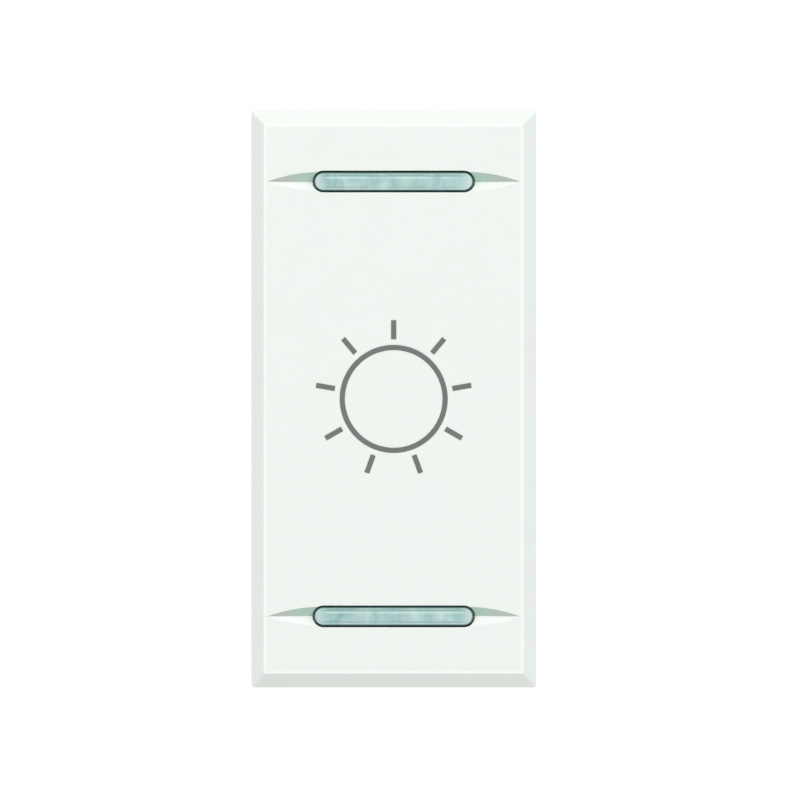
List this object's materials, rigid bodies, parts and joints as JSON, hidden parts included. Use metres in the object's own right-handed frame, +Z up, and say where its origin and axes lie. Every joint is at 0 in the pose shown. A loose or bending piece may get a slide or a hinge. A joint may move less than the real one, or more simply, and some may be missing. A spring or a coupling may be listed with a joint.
{
  "type": "rocking-key dimmer switch module",
  "caption": "One-module wall dimmer with a bevelled rocking key, two light windows, a sun symbol, snap-in frame, electronics case and rear screw terminals.",
  "frame": {"origin": "centre of the carrier frame's rear seating face, which rests on the support frame", "axes": "+X to the right seen from the room, +Y into the wall, +Z up"},
  "size_m": [0.0222, 0.0415, 0.045],
  "materials": {
    "white_key_plastic": "satin white polycarbonate",
    "grey_ink": "printed grey ink",
    "clear_window": "frosted clear polycarbonate",
    "rocker_plastic": "moulded off-white",
    "pin_plastic": "moulded acetal",
    "spring_steel": "drawn spring steel",
    "frame_plastic": "moulded light grey",
    "led_lens": "phosphor and white body",
    "switch_plastic": "moulded black",
    "board_laminate": "green solder mask on glass laminate",
    "tinned_brass": "tin plated",
    "black_moulding": "epoxy moulding compound",
    "chip_ceramic_dark": "glazed thick film",
    "chip_ceramic_tan": "sintered ceramic",
    "can_aluminium": "drawn can",
    "powdered_iron_paint": "epoxy painted powdered iron",
    "enamelled_copper": "enamelled copper wire",
    "capacitor_box": "moulded box",
    "fuse_glass": "clear tube",
    "nickel_plate": "nickel plated brass",
    "tinned_copper": "tin plated copper",
    "rivet_aluminium": "bare",
    "pad_silicone": "grey filled silicone",
    "sink_aluminium": "rolled sheet",
    "case_plastic": "moulded light grey polycarbonate",
    "cover_plastic": "moulded dark grey polycarbonate",
    "zinc_steel": "zinc plated, clear passivated",
    "contact_brass": "rolled strip"
  },
  "bodies": {
    "housing": {"carrier_frame": "frame_plastic", "case_shell": "case_plastic", "chip_capacitors": "chip_ceramic_tan", "chip_resistors": "chip_ceramic_dark", "choke_core": "powdered_iron_paint", "choke_winding": "enamelled_copper", "control_board": "board_laminate", "electrolytic_capacitor": "can_aluminium", "film_capacitor": "capacitor_box", "fuse_caps": "nickel_plate", "fuse_clips": "nickel_plate", "fuse_glass": "fuse_glass", "fuse_wire": "nickel_plate", "header_pins": "tinned_brass", "header_strip": "black_moulding", "heat_sink": "sink_aluminium", "insulating_pad": "pad_silicone", "line_contact": "contact_brass", "load_contact": "contact_brass", "lower_dome": "spring_steel", "lower_led": "led_lens", "lower_light_guide": "clear_window", "lower_return_spring": "spring_steel", "lower_switch_base": "switch_plastic", "microcontroller": "black_moulding", "power_board": "board_laminate", "rear_cover": "cover_plastic", "remote_contact": "contact_brass", "triac_body": "black_moulding", "triac_leadframe": "tinned_copper", "triac_rivet": "rivet_aluminium", "upper_dome": "spring_steel", "upper_led": "led_lens", "upper_light_guide": "clear_window", "upper_return_spring": "spring_steel", "upper_switch_base": "switch_plastic"},
    "key": {"key_cover": "white_key_plastic", "sun_symbol": "grey_ink", "upper_window": "clear_window", "lower_window": "clear_window", "rocker": "rocker_plastic"},
    "upper_pin": {"upper_push_pin": "pin_plastic"},
    "lower_pin": {"lower_push_pin": "pin_plastic"},
    "line_screw": {"line_screw": "zinc_steel"},
    "line_clamp": {"line_clamp": "zinc_steel"},
    "load_screw": {"load_screw": "zinc_steel"},
    "load_clamp": {"load_clamp": "zinc_steel"},
    "remote_screw": {"remote_screw": "zinc_steel"},
    "remote_clamp": {"remote_clamp": "zinc_steel"}
  },
  "joints": [
    {"name": "key_tilt", "type": "hinge", "parent": "housing", "child": "key", "pos_m": [0, -0.0036, 0], "axis": [1, 0, 0], "range_deg": [-3, 3], "stiffness_Nm_per_rad": 0.09},
    {"name": "upper_pin_slide", "type": "slide", "parent": "housing", "child": "upper_pin", "axis": [0, 1, 0], "range_m": [-0.00048, 0.00048], "deforming": ["upper_return_spring", "upper_dome"]},
    {"name": "lower_pin_slide", "type": "slide", "parent": "housing", "child": "lower_pin", "axis": [0, 1, 0], "range_m": [-0.00048, 0.00048], "deforming": ["lower_return_spring", "lower_dome"]},
    {"name": "line_clamp_lift", "type": "slide", "parent": "housing", "child": "line_clamp", "axis": [0, 0, -1], "range_m": [0, 0.0018]},
    {"name": "line_screw_turn", "type": "hinge", "parent": "housing", "child": "line_screw", "pos_m": [-0.0049, 0.0258, -0.0145], "axis": [0, 0, 1], "range_deg": [0, 1080]},
    {"name": "load_clamp_lift", "type": "slide", "parent": "housing", "child": "load_clamp", "axis": [0, 0, -1], "range_m": [0, 0.0018]},
    {"name": "load_screw_turn", "type": "hinge", "parent": "housing", "child": "load_screw", "pos_m": [0.0049, 0.0258, -0.0145], "axis": [0, 0, 1], "range_deg": [0, 1080]},
    {"name": "remote_clamp_lift", "type": "slide", "parent": "housing", "child": "remote_clamp", "axis": [0, 0, 1], "range_m": [0, 0.0018]},
    {"name": "remote_screw_turn", "type": "hinge", "parent": "housing", "child": "remote_screw", "pos_m": [-0.0049, 0.0258, 0.0145], "axis": [0, 0, -1], "range_deg": [0, 1080]}
  ],
  "couplings": [
    {"joint": "upper_pin_slide", "follows": "key_tilt", "m_per_rad": -0.009},
    {"joint": "lower_pin_slide", "follows": "key_tilt", "m_per_rad": 0.009},
    {"joint": "line_screw_turn", "follows": "line_clamp_lift", "rad_per_m": 10472},
    {"joint": "load_screw_turn", "follows": "load_clamp_lift", "rad_per_m": 10472},
    {"joint": "remote_screw_turn", "follows": "remote_clamp_lift", "rad_per_m": 10472}
  ]
}
